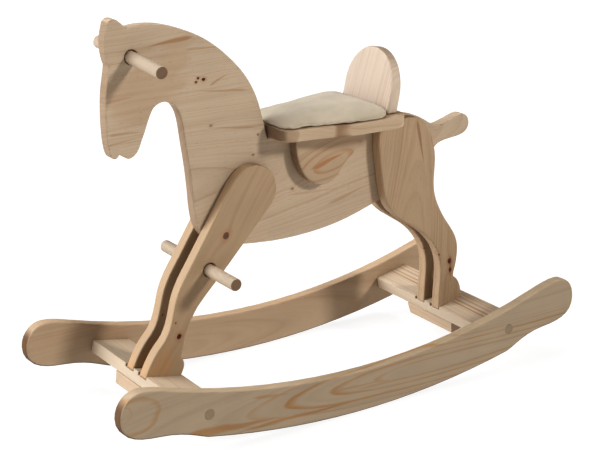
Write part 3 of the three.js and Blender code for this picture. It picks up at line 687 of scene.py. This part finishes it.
def settle(piece, floor_level):
    """Blows the cover up a little as cloth, held where it is pulled under the pad."""
    held = piece.vertex_groups.new(name="held")
    for vertex in piece.data.vertices:
        if vertex.co.z < floor_level + HELD_DEPTH:
            held.add([vertex.index], 1.0, "REPLACE")
    cloth = piece.modifiers.new("cloth", "CLOTH")
    settings = cloth.settings
    settings.quality = 6
    settings.mass = 0.3
    settings.tension_stiffness = 12
    settings.compression_stiffness = 12
    settings.shear_stiffness = 6
    settings.bending_stiffness = 0.4
    settings.use_pressure = True
    settings.uniform_pressure_force = 4
    settings.vertex_group_mass = "held"
    settings.effector_weights.gravity = 0
    cloth.point_cache.frame_start = 1
    cloth.point_cache.frame_end = CLOTH_FRAMES
    scene = bpy.context.scene
    for step in range(1, CLOTH_FRAMES + 1):
        scene.frame_set(step)
    apply_modifiers(piece)
    scene.frame_set(1)


def gather(piece, low, centre):
    """Small puckers where the cover is pulled under the pad, fading upwards."""
    for vertex in piece.data.vertices:
        outward = flat_offset(vertex, centre)
        if outward.length < CUSHION_CORE:
            continue
        turn = math.atan2(outward.y, outward.x)
        outward.normalize()
        rise = (vertex.co.z - low.z) / MM
        fade = max(0.0, 1.0 - rise / PUCKER_HEIGHT)
        around = Vector((math.cos(turn) * PUCKERS_AROUND, math.sin(turn) * PUCKERS_AROUND,
                         rise * 0.02))
        pucker = noise.noise(around * 1.6) + 0.6 * noise.noise(around * 3.7)
        vertex.co += outward * (pucker * fade * PUCKER_DEPTH * MM)


def keep_clear(piece, neighbours, gap=0.3 * MM, reach=6 * MM):
    """Pushes a piece's vertices out of its neighbours."""
    for name in neighbours:
        mesh = nodes[name].data
        surface = BVHTree.FromPolygons([v.co for v in mesh.vertices],
                                       [p.vertices for p in mesh.polygons])
        for vertex in piece.data.vertices:
            near, normal, _, _ = surface.find_nearest(vertex.co, reach)
            if near is not None:
                height = (vertex.co - near).dot(normal)
                if height < gap:
                    vertex.co += normal * (gap - height)


def cushion():
    """The seat cushion as a padded cover, from the CAD node's own shape."""
    mesh = nodes["seat_cushion"].data.copy()
    piece = bpy.data.objects.new("canvas_cushion", mesh)
    bpy.context.scene.collection.objects.link(piece)
    mesh.materials.clear()
    mesh.materials.append(canvas("cushion_canvas"))
    low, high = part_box("seat_cushion")
    centre = (low + high) / 2
    for vertex in mesh.vertices:
        outward = flat_offset(vertex, centre)
        if outward.length > CUSHION_CORE:
            vertex.co += outward.normalized() * CUSHION_SWELL
    remesh = piece.modifiers.new("remesh", "REMESH")
    remesh.mode = "VOXEL"
    remesh.voxel_size = CUSHION_VOXEL
    apply_modifiers(piece)
    start = np.array([v.co[:] for v in piece.data.vertices])
    settle(piece, low.z)
    for vertex, before in zip(piece.data.vertices, start):
        move = vertex.co - Vector(before)
        if move.length > CLOTH_REACH:
            vertex.co = Vector(before) + move.normalized() * CLOTH_REACH
    smooth = piece.modifiers.new("smooth", "SMOOTH")
    smooth.factor = 0.5
    smooth.iterations = 6
    subdivide = piece.modifiers.new("subdivide", "SUBSURF")
    subdivide.levels = 1
    subdivide.render_levels = 1
    apply_modifiers(piece)
    gather(piece, low, centre)
    keep_clear(piece, ("seat_board", "backrest", "seat_pad_base"))
    for polygon in piece.data.polygons:
        polygon.use_smooth = True
    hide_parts("seat_cushion")
    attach(piece, "root")


cushion()

# ------------------------------------------------------------------ stage, light and camera
FLOOR_RADIUS = 14.0
FLOOR_DROP = 0.0002         # keeps the floor just under the rockers
floor_mesh = bpy.data.meshes.new("floor")
build = bmesh.new()
bmesh.ops.create_circle(build, cap_ends=True, radius=FLOOR_RADIUS, segments=96)
build.to_mesh(floor_mesh)
build.free()
floor = bpy.data.objects.new("floor", floor_mesh)
floor.location.z = cad_box[0][2] - FLOOR_DROP
bpy.context.scene.collection.objects.link(floor)
paper = Tree("floor_paper", 0.85)
paper.shader.inputs["Base Color"].default_value = (0.16, 0.16, 0.16, 1)
paper.shader.inputs["Emission Color"].default_value = (1, 1, 1, 1)
paper.shader.inputs["Emission Strength"].default_value = 0.88
paper.shader.inputs["Specular IOR Level"].default_value = 0.1
floor.data.materials.append(paper.material)

# A dim warm dome above a white horizon, where the studio paper sweeps up. The sweep fades
# between two heights of the view direction.
DOME_STRENGTH = 0.12
SWEEP_STRENGTH = 1.0
SWEEP_LOW, SWEEP_HIGH = 0.04, 0.15
world = bpy.data.worlds.new("studio")
bpy.context.scene.world = world
world.use_nodes = True
sky = world.node_tree
background = sky.nodes["Background"]
background.inputs["Color"].default_value = (1.0, 0.9, 0.8, 1)
direction = sky.nodes.new("ShaderNodeTexCoord")
split = sky.nodes.new("ShaderNodeSeparateXYZ")
sweep = sky.nodes.new("ShaderNodeMapRange")
sweep.interpolation_type = "SMOOTHSTEP"
for socket, value in zip(list(sweep.inputs)[1:5],
                         (SWEEP_LOW, SWEEP_HIGH, SWEEP_STRENGTH, DOME_STRENGTH)):
    socket.default_value = value
sky.links.new(direction.outputs["Generated"], split.inputs[0])
sky.links.new(split.outputs["Z"], sweep.inputs["Value"])
sky.links.new(sweep.outputs["Result"], background.inputs["Strength"])


def sun(name, towards, strength, spread, colour=(1, 1, 1)):
    """A soft even light from a direction. spread is its width in degrees."""
    light = bpy.data.lights.new(name, "SUN")
    light.energy = strength
    light.angle = math.radians(spread)
    light.color = colour
    lamp = bpy.data.objects.new(name, light)
    lamp.rotation_euler = (-Vector(towards)).to_track_quat("-Z", "Y").to_euler()
    bpy.context.scene.collection.objects.link(lamp)


sun("from_front", (0.75, -0.35, 0.55), 3.3, 50, (0.93, 0.98, 1.05))
sun("from_rear", (-0.42, 0.7, 0.44), 1.85, 9)
sun("from_above", (0.1, -0.1, 1.0), 0.9, 60)

CAMERA_PLACE = Vector((1.3124, 1.9334, 1.0339))
CAMERA_YAW = math.radians(33.88)
CAMERA_PITCH = math.radians(18.59)
CAMERA_LENS = 93.6
SENSOR_WIDTH = 36
CAMERA_FAR = 100
camera_data = bpy.data.cameras.new("camera")
camera_data.lens = CAMERA_LENS
camera_data.sensor_width = SENSOR_WIDTH
camera_data.sensor_fit = "HORIZONTAL"
camera_data.clip_end = CAMERA_FAR
camera = bpy.data.objects.new("camera", camera_data)
camera.location = CAMERA_PLACE
look = Vector((-math.sin(CAMERA_YAW) * math.cos(CAMERA_PITCH),
               -math.cos(CAMERA_YAW) * math.cos(CAMERA_PITCH), -math.sin(CAMERA_PITCH)))
camera.rotation_euler = look.to_track_quat("-Z", "Y").to_euler()
bpy.context.scene.collection.objects.link(camera)
bpy.context.scene.camera = camera
bpy.context.scene.view_settings.view_transform = "Standard"
bpy.context.scene.view_settings.gamma = 0.7
